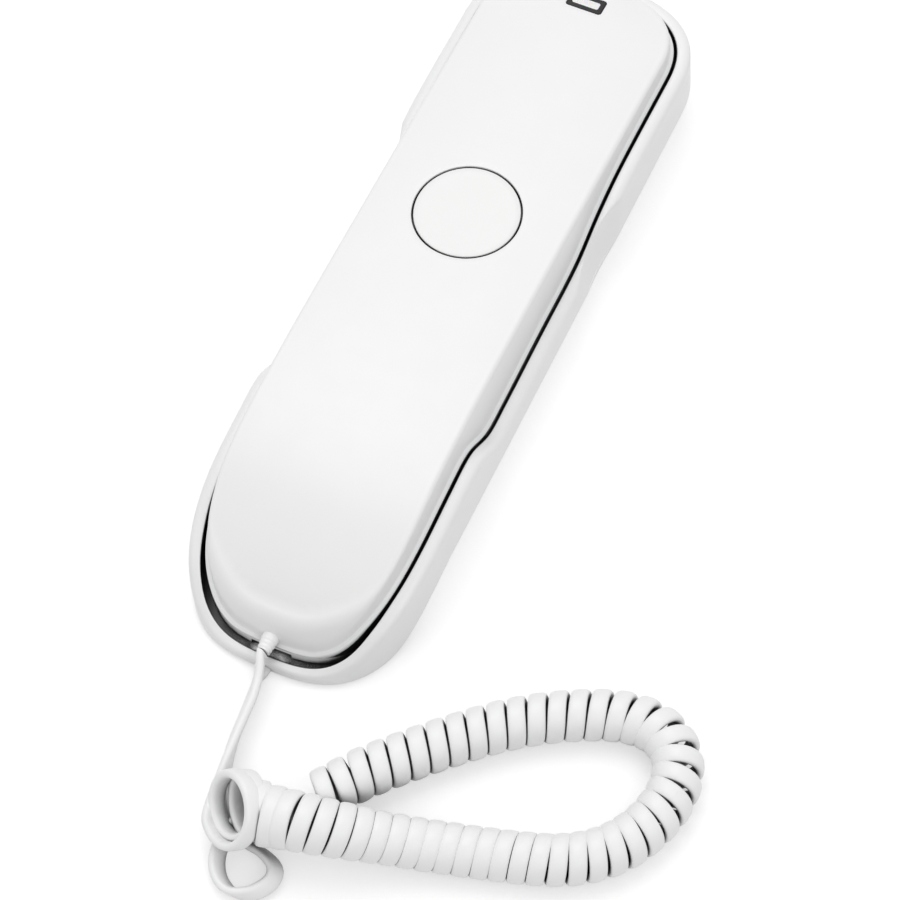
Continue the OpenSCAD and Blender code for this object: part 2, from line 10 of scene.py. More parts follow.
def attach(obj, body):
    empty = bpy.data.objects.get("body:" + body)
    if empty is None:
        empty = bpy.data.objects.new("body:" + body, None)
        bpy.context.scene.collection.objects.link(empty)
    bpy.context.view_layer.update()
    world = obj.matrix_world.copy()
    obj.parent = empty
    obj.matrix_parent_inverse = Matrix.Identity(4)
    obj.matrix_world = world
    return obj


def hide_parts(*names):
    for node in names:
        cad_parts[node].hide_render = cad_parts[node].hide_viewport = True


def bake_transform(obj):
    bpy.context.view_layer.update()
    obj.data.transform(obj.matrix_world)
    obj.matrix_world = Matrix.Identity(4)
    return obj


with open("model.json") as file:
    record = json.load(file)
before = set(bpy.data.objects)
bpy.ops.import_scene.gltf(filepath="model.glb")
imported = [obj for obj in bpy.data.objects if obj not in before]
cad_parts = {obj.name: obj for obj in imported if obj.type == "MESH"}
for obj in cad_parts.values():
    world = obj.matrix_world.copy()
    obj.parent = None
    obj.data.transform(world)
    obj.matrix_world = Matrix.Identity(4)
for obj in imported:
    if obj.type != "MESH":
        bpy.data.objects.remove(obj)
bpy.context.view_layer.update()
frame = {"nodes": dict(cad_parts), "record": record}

# ---- Camera ------------------------------------------------------------------------
# A long lens high over the mouthpiece end. It is rolled a little, so the phone lies
# across the view, with the earpiece end running out of its upper edge.
MM = 0.001
camera_place = Vector((239.88, -399.62, 774.20)) * MM
camera_aim = Vector((21.05, -39.57, 20.0)) * MM
camera_roll = math.radians(-6.9)
lens_mm = 140.2
sensor_mm = 36.0

camera_data = bpy.data.cameras.new("camera")
camera_data.lens = lens_mm
camera_data.sensor_width = sensor_mm
camera_data.sensor_fit = "HORIZONTAL"
camera_data.clip_start = 0.01
camera_data.clip_end = 20.0
camera = bpy.data.objects.new("camera", camera_data)
bpy.context.scene.collection.objects.link(camera)
camera.rotation_mode = "QUATERNION"
camera.location = camera_place
camera.rotation_quaternion = (camera_place - camera_aim).to_track_quat("Z", "Y") @ Quaternion(
    (0.0, 0.0, 1.0), camera_roll)
bpy.context.scene.camera = camera

# ---- Handset cord: routes ----------------------------------------------------------
# One flat four-wire cord in soft white PVC. A straight end leaves the handset, the middle
# is wound into a curl on a mandrel and set by heat, and the other straight end lies on
# the table, makes one open turn and goes back under the base.
handset_lead = np.array([
    [0, -103.6, 9], [0, -104.4, 9], [0.7, -106.2, 8.4], [1.6, -109.4, 7.4], [2.5, -114.1, 7],
    [2.9, -119.2, 6.9], [3.4, -124.4, 7], [4.2, -129.6, 7.1], [5.3, -135, 7.2], [7.4, -140.4, 8],
    [9.4, -144.4, 9.6], [10.8, -146, 10.8]]) * MM
coil_axis = np.array([
    [13, -145.5, 14.6], [15.4, -144.2, 13.6], [18.8, -143.2, 13.4], [23.6, -142.6, 14.2],
    [29.4, -141.6, 14.8], [37.3, -139.5, 13.4], [48.3, -135.6, 10], [59, -131.9, 7.4],
    [70, -128.5, 6.4], [80, -125.5, 6.4], [88, -122.5, 6.4], [95, -118, 6.4], [100, -112.5, 6.4],
    [103.5, -105.5, 6.4], [105.2, -98, 6.4], [104.4, -91, 6.4], [101, -85.5, 6.4], [95, -82.4, 6.4],
    [87.5, -82.6, 6.4], [79, -85.6, 6.4], [69, -91, 6.4], [60, -97.5, 6.4], [51, -105.5, 6.4],
    [42, -114.5, 6.4], [35.2, -122, 6.4], [31.2, -127.6, 6.4], [28, -131.8, 6.4]]) * MM
base_lead = np.array([
    [27.7, -132.2, 3.8], [25.2, -134.8, 3], [20, -138, 3.2], [15.8, -141.4, 4.4],
    [12.9, -145.8, 5.2], [12, -150.4, 3.8], [12.9, -154.8, 2.8], [15.8, -158.4, 2.6],
    [20, -159.8, 2.6], [24.4, -158, 2.8], [27, -154, 3], [26.2, -150.4, 3], [22, -148.2, 2.6],
    [17.2, -147.4, 2.2], [12.4, -145, 1.4], [8.6, -141, 1.4], [5.2, -136, 1.4], [3, -130, 1.4],
    [1.9, -124, 1.4], [1.2, -117, 1.4], [0.4, -110, 1.4], [-0.4, -104, 1.4], [-0.2, -98, 1.6],
    [0, -91, 1.8], [0, -84, 1.8]]) * MM
cord_half_width = 2.2 * MM
cord_half_thick = 1.15 * MM
cord_roundness = 2.8
cord_step = 1.1 * MM


def unit(v):
    return v / np.maximum(np.linalg.norm(v, axis=-1, keepdims=True), 1e-12)


def ease(t):
    """0 to 1 with a soft start and end."""
    t = np.clip(t, 0.0, 1.0)
    return t * t * (3.0 - 2.0 * t)


def ramp(value, low, high):
    """0 up to low, 1 from high on, with a soft change between them."""
    return ease((value - low) / (high - low))


def travelled(points):
    """Distance along a line at each of its points."""
    return np.concatenate([[0.0], np.cumsum(np.linalg.norm(np.diff(points, axis=0), axis=1))])


def spaced(columns, step):
    """Rows of columns (the first three are a place) at an even distance along the line."""
    s = travelled(columns[:, :3])
    at = np.linspace(0.0, s[-1], max(2, int(round(s[-1] / step)) + 1))
    return np.stack([np.interp(at, s, columns[:, c]) for c in range(columns.shape[1])], axis=1)


def splined(columns, per_piece=24):
    """Smooth line through all rows of columns."""
    padded = np.vstack([2 * columns[0] - columns[1], columns, 2 * columns[-1] - columns[-2]])
    t = np.linspace(0.0, 1.0, per_piece, endpoint=False)[:, None]
    pieces = []
    for a, b, c, d in zip(padded[:-3], padded[1:-2], padded[2:-1], padded[3:]):
        pieces.append(0.5 * (2 * b + (c - a) * t + (2 * a - 5 * b + 4 * c - d) * t ** 2
                             + (3 * b - a - 3 * c + d) * t ** 3))
    return np.vstack(pieces + [columns[-1:]])


def bridge(start, start_way, end, end_way, pull, count=24):
    """Curve between two points that leaves and arrives in the given directions."""
    t = np.linspace(0.0, 1.0, count)[1:-1, None]
    return ((2 * t ** 3 - 3 * t ** 2 + 1) * start + (t ** 3 - 2 * t ** 2 + t) * pull * start_way
            + (3 * t ** 2 - 2 * t ** 3) * end + (t ** 3 - t ** 2) * pull * end_way)


# ---- Handset cord: the curl --------------------------------------------------------
# The cord is wound flat side in, left-handed and with its turns almost touching. The end
# turns by the handset have sprung open, and face up towards the mouthpiece.
steps_per_turn = 60
open_axis = unit(np.array([0.55, 0.59, -0.59]))
open_turns = 5.5
second_turn_shift = np.array([-0.5, 2.0, -0.3]) * MM
second_turn_from, second_turn_full = 0.55, 1.45
second_turn_fades, second_turn_gone = 1.6, 3.0
first_radial = unit(np.array([-0.559, -0.253, -0.781]))

# Distance along the curl's axis, and from one turn to the next there: the sprung turns lie
# closest together, and those of the far strand furthest apart.
turn_spacing = np.array([[0.0, 1.6], [1.6, 1.6], [4.0, 4.05], [17.0, 4.05], [24.0, 4.38], [95.0, 4.38],
                         [115.0, 4.95]]) * MM
# Number of the turn, and its radius in mm: the sprung turns are wider.
turn_radius = np.array([[0.0, 8.6], [0.7, 8.6], [1.3, 7.7], [1.9, 6.8], [4.0, 6.3], [7.0, 5.8],
                        [10.0, 5.2]])

axis_line = spaced(splined(coil_axis), 0.25 * MM)
axis_s = travelled(axis_line)
axis_way = unit(np.gradient(axis_line, axis_s, axis=0))

pitch = np.interp(axis_s, *turn_spacing.T)
turns = np.concatenate([[0.0], np.cumsum(np.diff(axis_s) / pitch[1:])])
turn_at = np.linspace(0.0, turns[-1], int(turns[-1] * steps_per_turn))
station = np.interp(turn_at, turns, axis_s)


def on_axis(values):
    """Values along the axis, read off at every step of the turns."""
    return np.stack([np.interp(station, axis_s, values[:, c]) for c in range(3)], axis=1)


centre = on_axis(axis_line)
way = on_axis(axis_way)
settle = ease(turn_at / open_turns)[:, None]
way = unit(open_axis * (1 - settle) + way * settle)
second = (ramp(turn_at, second_turn_from, second_turn_full)
          * (1 - ramp(turn_at, second_turn_fades, second_turn_gone)))[:, None]
centre = centre + second_turn_shift * second
radius = np.interp(turn_at, *turn_radius.T) * MM

# A frame that doesn't twist is carried along the axis, and the cord turns in it.
radial = [unit(first_radial - way[0] * np.dot(first_radial, way[0]))]
for w in way[1:]:
    carried = radial[-1] - w * np.dot(radial[-1], w)
    radial.append(unit(carried))
radial = np.array(radial)
sideways = np.cross(way, radial)
angle = -2 * math.pi * turn_at[:, None]
helix = centre + radius[:, None] * (np.cos(angle) * radial + np.sin(angle) * sideways)
helix_hint = -way

# The curl is one cord, but its far strand stays on the table while the near one follows
# the handset, so it is made as two lengths that meet at the far bend.
far_bend = 14
cut_station = axis_s[np.argmin(np.linalg.norm(axis_line - coil_axis[far_bend], axis=1))]
cut = int(np.argmax(station > cut_station))


def swept_cord(name, line, hint, finish):
    """Flat cord with rounded edges along a line; hint is the way its width points."""
    along = unit(np.gradient(line, axis=0, edge_order=2))
    wide = unit(hint - along * np.sum(hint * along, axis=1, keepdims=True))
    thick = np.cross(along, wide)
    sides = 16
    turn = np.arange(sides) * 2 * math.pi / sides
    power = 2.0 / cord_roundness
    across = cord_half_width * np.sign(np.cos(turn)) * np.abs(np.cos(turn)) ** power
    through = cord_half_thick * np.sign(np.sin(turn)) * np.abs(np.sin(turn)) ** power
    points = (line[:, None, :] + across[None, :, None] * wide[:, None, :]
              + through[None, :, None] * thick[:, None, :]).reshape(-1, 3)
    # The table keeps the cord from sinking below it.
    points[:, 2] = np.maximum(points[:, 2], 0.0)
    last = len(line) - 1
    faces = [(sides * i + j, sides * i + (j + 1) % sides, sides * (i + 1) + (j + 1) % sides,
              sides * (i + 1) + j) for i in range(last) for j in range(sides)]
    faces.append(tuple(range(sides - 1, -1, -1)))
    faces.append(tuple(range(sides * last, sides * last + sides)))
    mesh = bpy.data.meshes.new(name)
    mesh.from_pydata(points.tolist(), [], faces)
    mesh.polygons.foreach_set("use_smooth", [True] * len(faces))
    # Sharp rims keep the shading of the two cut ends off the cord's sides.
    for rim in mesh.edges:
        if all(v < sides or v >= sides * last for v in rim.vertices):
            rim.use_edge_sharp = True
    mesh.materials.append(finish)
    piece = bpy.data.objects.new(name, mesh)
    bpy.context.scene.collection.objects.link(piece)
    return piece


def new_material(name):
    """A material, its node tree, its shader and the place on the piece."""
    material = bpy.data.materials.new(name)
    material.use_nodes = True
    tree = material.node_tree
    where = tree.nodes.new("ShaderNodeTexCoord").outputs["Object"]
    return material, tree, tree.nodes["Principled BSDF"], where


def noise(tree, scale, detail, where):
    texture = tree.nodes.new("ShaderNodeTexNoise")
    texture.inputs["Scale"].default_value = scale
    texture.inputs["Detail"].default_value = detail
    tree.links.new(where, texture.inputs["Vector"])
    return texture.outputs["Fac"]


def remapped(tree, source, source_low, source_high, low=0.0, high=1.0):
    """Stretches a value's range to the one between low and high."""
    remap = tree.nodes.new("ShaderNodeMapRange")
    for socket, value in (("From Min", source_low), ("From Max", source_high), ("To Min", low),
                          ("To Max", high)):
        remap.inputs[socket].default_value = value
    tree.links.new(source, remap.inputs["Value"])
    return remap.outputs["Result"]


def spread(tree, source, low, high):
    """Turns a noise value, most of which lies near its middle, into one from low to high."""
    return remapped(tree, source, 0.3, 0.7, low, high)


def two_tone(tree, source, dark, light):
    """Colour from dark to light; light may also be the output of a node."""
    mix = tree.nodes.new("ShaderNodeMix")
    mix.data_type = "RGBA"
    mix.inputs[6].default_value = (*dark, 1.0)
    if isinstance(light, bpy.types.NodeSocket):
        tree.links.new(light, mix.inputs[7])
    else:
        mix.inputs[7].default_value = (*light, 1.0)
    tree.links.new(source, mix.inputs[0])
    return mix.outputs[2]


def painted_crevice_shade(tree, reach, dark_at, clear_at):
    """Painted shade from ambient occlusion: 0 deep in a narrow gap, 1 on an open surface."""
    occlusion = tree.nodes.new("ShaderNodeAmbientOcclusion")
    occlusion.samples = 12
    occlusion.inputs["Distance"].default_value = reach
    return remapped(tree, occlusion.outputs["AO"], dark_at, clear_at)


def roughened(tree, shader, relief, strength, depth):
    """Gives the surface a fine relief."""
    bump = tree.nodes.new("ShaderNodeBump")
    bump.inputs["Strength"].default_value = strength
    bump.inputs["Distance"].default_value = depth
    tree.links.new(relief, bump.inputs["Height"])
    tree.links.new(bump.outputs["Normal"], shader.inputs["Normal"])


def moulded(name, colour, roughness, grain=0.00002, grain_scale=1400.0, cloud=0.015, coat=0.0,
            painted_shade_level=0.03, reach=0.006, dark_at=0.2, clear_at=0.45):
    """Moulded plastic or rubber: faint clouding, uneven sheen, a fine grain, and painted shade that darkens
    its colour in narrow gaps.
    """
    material, tree, shader, where = new_material(name)
    dark = [c * (1 - cloud) for c in colour]
    light = [min(1.0, c * (1 + cloud)) for c in colour]
    clouded = two_tone(tree, noise(tree, 45.0, 3.0, where), dark, light)
    # Painted shade: the colour falls towards a dark share of itself where ambient occlusion finds a narrow
    # gap.
    shade = two_tone(tree, painted_crevice_shade(tree, reach, dark_at, clear_at), [c * painted_shade_level for c in colour], clouded)
    tree.links.new(shade, shader.inputs["Base Color"])
    tree.links.new(spread(tree, noise(tree, 160.0, 4.0, where), roughness - 0.04, roughness + 0.04),
                   shader.inputs["Roughness"])
    roughened(tree, shader, noise(tree, grain_scale, 2.0, where), 0.35, grain)
    shader.inputs["Coat Weight"].default_value = coat
    shader.inputs["Coat Roughness"].default_value = 0.15
    return material


# The cord paints shade into its colour over a wide reach: the gaps between turns, the inside of the curl and
# its sides near the table go darker.
cord_pvc = moulded("cord_pvc", (0.92, 0.92, 0.92), 0.42, grain=0.00001, grain_scale=900.0, painted_shade_level=0.1,
                   reach=0.02, dark_at=0.1, clear_at=0.5)

# ---- Handset cord: the two lengths --------------------------------------------------
# The lead stands on edge as it leaves the handset and swings into the first open turn.
# The other lead lies flat under the base, and stands on edge below the first and in its
# open turn.
up = np.array([0.0, 0.0, 1.0])
on_edge = np.array([0.3, -0.42, 0.86])
lead_end_turn = np.array([-0.7, -0.3, 0.2])
swing_pull = 5 * MM
climb_pull = 9 * MM


def joined(line, hint, leaves, pull, coil, coil_hint):
    """A straight end, a short curve and the turns that it leads into, with their width's way."""
    link = bridge(line[-1], leaves, coil[0], unit(coil[1] - coil[0]), pull)
    share = ease(np.linspace(0.0, 1.0, len(link)))[:, None]
    link_hint = hint[-1] * (1 - share) + coil_hint[0] * share
    columns = np.hstack([np.vstack([line, link, coil]), np.vstack([hint, link_hint, coil_hint])])
    return spaced(columns, cord_step)


# The last points of the lead's route lie inside the first turn, so the swing replaces them.
lead_line = splined(handset_lead[:-3])
lead_leaves = unit(lead_line[-1] - lead_line[-8])
lead_at = np.linspace(-1.0, 1.0, len(lead_line))[:, None]
lead_hint = unit(on_edge + lead_end_turn * lead_at ** 4)
near_columns = joined(lead_line, lead_hint, lead_leaves, swing_pull, helix[:cut + 1],
                      helix_hint[:cut + 1])
near_cord = swept_cord("curly_cord_near", near_columns[:, :3], near_columns[:, 3:], cord_pvc)
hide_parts("cord_handset_lead")
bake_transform(near_cord)

# Numbers of the points on the base lead's route between which it stands up on its edge, and
# then leans over for its open turn.
rise_from, rise_full = 2.4, 4.0
lean_from, lean_full = 8, 11
lean_way = unit(np.array([-0.75, -0.2, 0.62]))
table_gap = 0.45 * MM
route = base_lead[::-1][:-1]
base_line = splined(route)
heading = unit(np.gradient(base_line, axis=0))
route_at = np.linspace(0.0, len(route) - 1.0, len(base_line))
rise = ramp(route_at, rise_from, rise_full)[:, None]
lean = ramp(route_at, lean_from, lean_full)[:, None]
flat_way = unit(np.cross(heading, up))
base_hint = unit((flat_way * (1 - rise) + on_edge * rise) * (1 - lean) + lean_way * lean)
across = unit(base_hint - heading * np.sum(base_hint * heading, axis=1, keepdims=True))
half_high = np.hypot(cord_half_width * across[:, 2],
                     cord_half_thick * np.cross(heading, across)[:, 2])
base_line[:, 2] = np.maximum(base_line[:, 2], half_high + table_gap)
far_columns = joined(base_line, base_hint, heading[-1], climb_pull, helix[cut:][::-1],
                     way[cut:][::-1])
far_cord = swept_cord("curly_cord_far", far_columns[:, :3], far_columns[:, 3:], cord_pvc)
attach(far_cord, "base")
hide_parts("cord_coil", "cord_base_lead")

# ---- Housing: the shared outline and side-view curves -------------------------------
# Both housings are moulded to one outline: straight sides, a short full curve above the
# earpiece and a long one around the mouthpiece. All of their edges are soft.
half_w = 31.0
half_l = 104.0
low_depth = 48.0
low_power = 3.0
high_depth = 25.0
high_power = 2.6
side_count = 84
low_count = 96
high_count = 64


def even_turns(power, width, depth, count):
    """Angles that put points at an even spacing around a superellipse end."""
    t = np.linspace(0.0, math.pi, 4001)
    e = 2.0 / power
    line = np.stack([width * np.sign(np.cos(t)) * np.abs(np.cos(t)) ** e,
                     depth * np.sin(t) ** e], axis=1)
    s = travelled(line)
    return np.interp(np.linspace(0.0, s[-1], count), s, t)


high_turns = even_turns(high_power, half_w, high_depth, high_count)
low_turns = even_turns(low_power, half_w, low_depth, low_count)


def outline(inset):
    """Plan outline pulled in by a distance, counter-clockwise from the right side."""
    w, h = half_w - inset, half_l - inset
    rows = []
    for turns_of, power, depth, sign in ((high_turns, high_power, high_depth - inset, 1),
                                         (low_turns, low_power, low_depth - inset, -1)):
        e = 2.0 / power
        x = sign * w * np.sign(np.cos(turns_of)) * np.abs(np.cos(turns_of)) ** e
        y = sign * (h - depth + depth * np.abs(np.sin(turns_of)) ** e)
        rows.append(np.stack([x, y], axis=1))
    high, low = rows
    f = np.linspace(0.0, 1.0, side_count)[1:-1, None]
    left = high[-1] * (1 - f) + low[0] * f
    right = low[-1] * (1 - f) + high[0] * f
    return np.vstack([high, left, low, right])


def height(knots, y):
    """Height of a side-view curve at y, by cubic pieces with a shared slope."""
    k = np.array(knots, float)
    slope = np.empty(len(k))
    for i in range(len(k)):
        a, b = max(i - 1, 0), min(i + 1, len(k) - 1)
        slope[i] = (k[b, 1] - k[a, 1]) / (k[b, 0] - k[a, 0])
    y = np.asarray(y, float)
    i = np.clip(np.searchsorted(k[:, 0], y) - 1, 0, len(k) - 2)
    h = k[i + 1, 0] - k[i, 0]
    t = (y - k[i, 0]) / h
    return ((2 * t ** 3 - 3 * t ** 2 + 1) * k[i, 1] + (t ** 3 - 2 * t ** 2 + t) * slope[i] * h
            + (3 * t ** 2 - 2 * t ** 3) * k[i + 1, 1] + (t ** 3 - t ** 2) * slope[i + 1] * h)


# Side-view curves as places along the phone and heights: the rim and the lower edge of the
# base's housing, the cradle floor, the seam of the handset and its back.
rim_knots = [[-106, 4.2], [-102, 4.4], [-97, 8.4], [-90, 14.6], [-80, 19.4], [-68, 22.8], [-52, 24.8],
             [-41, 24.8], [-31, 18.5], [-22, 17.9], [0, 18.5], [22, 18.9], [36, 23], [50, 25],
             [80, 24.4], [106, 23.5]]
edge_knots = [[-106, 1], [-88, 1], [-80, 4], [-72, 7.2], [-62, 9.5], [-58, 9.5], [106, 9.5]]
floor_knots = [[-106, 3], [-96, 3], [-86, 4.6], [-74, 8], [-60, 12], [-48, 14.2], [-40, 14.2],
               [58, 14.2], [62, 14.2], [70, 12.8], [74, 12.8], [106, 12.8]]
seam_knots = [[-106, 6.2], [-94, 6.6], [-84, 9], [-72, 12.4], [-60, 15.6], [-46, 17.4], [-42, 17.4],
              [106, 17.4]]
back_knots = [[-100.2, 7.4], [-99.4, 11.2], [-96, 15.8], [-90, 21.2], [-80, 27.4], [-68, 32.5],
              [-54, 35.3], [-40, 36], [-20, 35.9], [15, 34.8], [50, 33.4], [80, 31.8], [94, 30.4],
              [98.6, 28.6], [100.8, 25.5]]


class Skin:
    """Collects the rings and sheets of one closed skin, in millimetres."""

    def __init__(self):
        self.points = []
        self.faces = []
        self.marks = []

    def ring(self, xy, z):
        """Adds a closed ring of points and returns their numbers."""
        z = np.broadcast_to(np.asarray(z, float), (len(xy),))
        start = len(self.points)
        self.points.extend([(float(x), float(y), float(h)) for (x, y), h in zip(xy, z)])
        return list(range(start, len(self.points)))

    def add(self, face, mark=0):
        """Adds a face; mark is the number of its material."""
        self.faces.append(face)
        self.marks.append(mark)

    def band(self, a, b, mark=0):
        """Quads between two rings of the same count."""
        n = len(a)
        for i in range(n):
            j = (i + 1) % n
            self.add((a[i], a[j], b[j], b[i]), mark)

    def bands(self, rings, mark=0):
        for a, b in zip(rings[:-1], rings[1:]):
            self.band(a, b, mark)

    def sheet(self, outer, holes, level, spacing, flip=False, mark=0):
        """Fills the area inside a ring and outside the hole rings with even triangles."""
        rings = [outer] + list(holes)
        ids = [i for r in rings for i in r]
        flat = np.array([self.points[i][:2] for i in ids])
        edges = []
        start = 0
        for r in rings:
            n = len(r)
            edges.extend([(start + k, start + (k + 1) % n) for k in range(n)])
            start += n
        inner = grid_points(flat[:len(outer)], [np.array([self.points[i][:2] for i in r]) for r in holes],
                            spacing)
        every = np.vstack([flat, inner]) if len(inner) else flat
        found = delaunay_2d_cdt([Vector(p) for p in every], edges, [], 1, 1e-6)
        places, triangles, origin = found[0], found[2], found[3]
        number = {}
        for v, sources in enumerate(origin):
            old = [s for s in sources if s < len(ids)]
            if old:
                number[v] = ids[old[0]]
        new = [v for v in range(len(places)) if v not in number]
        if new:
            xy = np.array([places[v] for v in new])
            z = level(xy[:, 0], xy[:, 1])
            for v, p, h in zip(new, xy, z):
                number[v] = len(self.points)
                self.points.append((float(p[0]), float(p[1]), float(h)))
        middles = np.array([np.mean([places[v][:] for v in t], axis=0) for t in triangles])
        wanted = inside(middles, flat[:len(outer)])
        for r in holes:
            wanted &= ~inside(middles, np.array([self.points[i][:2] for i in r]))
        for t, good in zip(triangles, wanted):
            if good:
                face = [number[v] for v in t]
                self.add(tuple(face[::-1] if flip else face), mark)

    def piece(self, name, materials):
        mesh = bpy.data.meshes.new(name)
        mesh.from_pydata((np.array(self.points) * MM).tolist(), [], self.faces)
        for m in materials:
            mesh.materials.append(m)
        mesh.polygons.foreach_set("material_index", self.marks)
        mesh.polygons.foreach_set("use_smooth", [True] * len(self.faces))
        mesh.validate()
        mesh.set_sharp_from_angle(angle=math.radians(48))
        mesh.update()
        obj = bpy.data.objects.new(name, mesh)
        bpy.context.scene.collection.objects.link(obj)
        return obj


def inside(points, polygon):
    """Which points lie inside a closed polygon."""
    x, y = points[:, 0][:, None], points[:, 1][:, None]
    a, b = polygon, np.roll(polygon, -1, axis=0)
    crosses = (a[:, 1] > y) != (b[:, 1] > y)
    rise = np.where(b[:, 1] == a[:, 1], 1e-12, b[:, 1] - a[:, 1])
    at = a[:, 0] + (y - a[:, 1]) * (b[:, 0] - a[:, 0]) / rise
    return (np.sum(crosses & (x < at), axis=1) % 2) == 1


def far_from(points, polygon, reach):
    """Which points are further than a distance from a polygon's edges."""
    good = np.ones(len(points), bool)
    a, b = polygon, np.roll(polygon, -1, axis=0)
    for p, q in zip(a, b):
        d = q - p
        t = np.clip(((points - p) @ d) / max(d @ d, 1e-12), 0.0, 1.0)
        good &= np.linalg.norm(points - (p + t[:, None] * d), axis=1) > reach
    return good


def grid_points(outer, holes, spacing):
    """Staggered rows of points inside a ring, spaced by spacing(y)."""
    low, high = outer.min(0), outer.max(0)
    rows = []
    y = low[1] + 0.5 * spacing(low[1])
    odd = False
    while y < high[1]:
        step = spacing(y)
        count = max(1, int((high[0] - low[0]) / step))
        x = (np.arange(count + 1) - count / 2 + (0.5 if odd else 0.0)) * step
        rows.append(np.stack([x + 0.5 * (low[0] + high[0]), np.full(len(x), y)], axis=1))
        y += 0.87 * step
        odd = not odd
    points = np.vstack(rows)
    points = points[inside(points, outer)]
    points = points[far_from(points, outer, 0.45 * spacing(0.0))]
    for h in holes:
        if len(points):
            points = points[~inside(points, h)]
            points = points[far_from(points, h, 0.4 * spacing(0.0))]
    return points


def circle(x, y, r, count=48):
    """Closed circle, counter-clockwise."""
    t = np.arange(count) * 2 * math.pi / count
    return np.stack([x + r * np.cos(t), y + r * np.sin(t)], axis=1)


def rounded_rect(x, y, w, h, r, count=6):
    """Closed rectangle with round corners, counter-clockwise."""
    rows = []
    for k, (sx, sy) in enumerate(((1, 1), (-1, 1), (-1, -1), (1, -1))):
        t = math.pi / 2 * (k + np.linspace(0.0, 1.0, count))
        rows.append(np.stack([x + sx * (w / 2 - r) + r * np.cos(t),
                              y + sy * (h / 2 - r) + r * np.sin(t)], axis=1))
    return np.vstack(rows)


def grown(xy, by):
    """A closed counter-clockwise line moved outwards."""
    along = np.roll(xy, -1, axis=0) - np.roll(xy, 1, axis=0)
    out = np.stack([along[:, 1], -along[:, 0]], axis=1)
    return xy + by * unit(out)


# Both whites paint shade into their colour in narrow gaps. The gap material paints it almost black, for the
# faces in the gap between handset and cradle.
shell_white = moulded("shell_white", (0.9, 0.9, 0.9), 0.36)
gap_painted_shade = moulded("gap_painted_shade", (0.9, 0.9, 0.9), 0.36, painted_shade_level=0.01, reach=0.014, dark_at=0.5,
                    clear_at=0.66)

# ---- Base: upper housing -------------------------------------------------------------
# The tray that the handset lies in, moulded in white ABS: a rolled rim, a shallow hollow
# on each side for the fingers, and a cradle with a well that clears the keys. Four screws
# from below hold it to the bottom plate.
rim_width = 3.4
rim_roll = 2.0
rim_roll_share = 0.45
rim_inner_roll = 0.5
nose_spare = 1.3
nose_sharp = 1.1
nose_from, nose_full = 80.0, 102.0
cover_wall = 2.2
floor_thick = 2.0
hump_half, hump_foot = 4.5, 5.3
hump_top = 4.6
hump_end, hump_end_foot = -76.0, -74.5
scoop_radius = 34.0
scoop_depth = 2.8
scoop_y = 29.0
scoop_z = 20.0
plunger_xy = (0.0, 56.0)
bore_radius = 3.05
well_floor = 12.6
# Middle, width and length.
well = (0.0, 7.0, 43.0, 66.0)
tab_slot = (0.0, 90.6, 8.0, 5.2)


def scooped(xy, z):
    """Moves points of a side wall in to the finger hollow."""
    xy = xy.copy()
    z = np.broadcast_to(z, (len(xy),))
    reach = scoop_radius ** 2 - (xy[:, 1] - scoop_y) ** 2 - (z - scoop_z) ** 2
    hit = reach > 0
    limit = half_w + scoop_radius - scoop_depth - np.sqrt(np.where(hit, reach, 0.0))
    side = np.sign(xy[:, 0])
    over = hit & (np.abs(xy[:, 0]) > limit)
    xy[:, 0] = np.where(over, side * limit, xy[:, 0])
    return xy


def cradle_line(inset):
    """Inner line of the rim, which leaves more room around the mouthpiece."""
    xy = outline(inset)
    wide = outline(inset - nose_spare)
    return xy + (wide - xy) * ramp(-xy[:, 1], nose_from, nose_full)[:, None]


def cradle_floor(x, y):
    """Height of the cradle's floor, with a hump above the cord's way in."""
    z = height(floor_knots, y)
    hump = (1 - ramp(np.abs(x), hump_half, hump_foot)) * (1 - ramp(y, hump_end, hump_end_foot))
    return np.maximum(z, z + (hump_top - z) * hump)


def cover_underside(x, y):
    """Height of the housing's inside, as it is seen from below."""
    return np.maximum(height(floor_knots, y) - floor_thick, height(edge_knots, y) + 0.3)


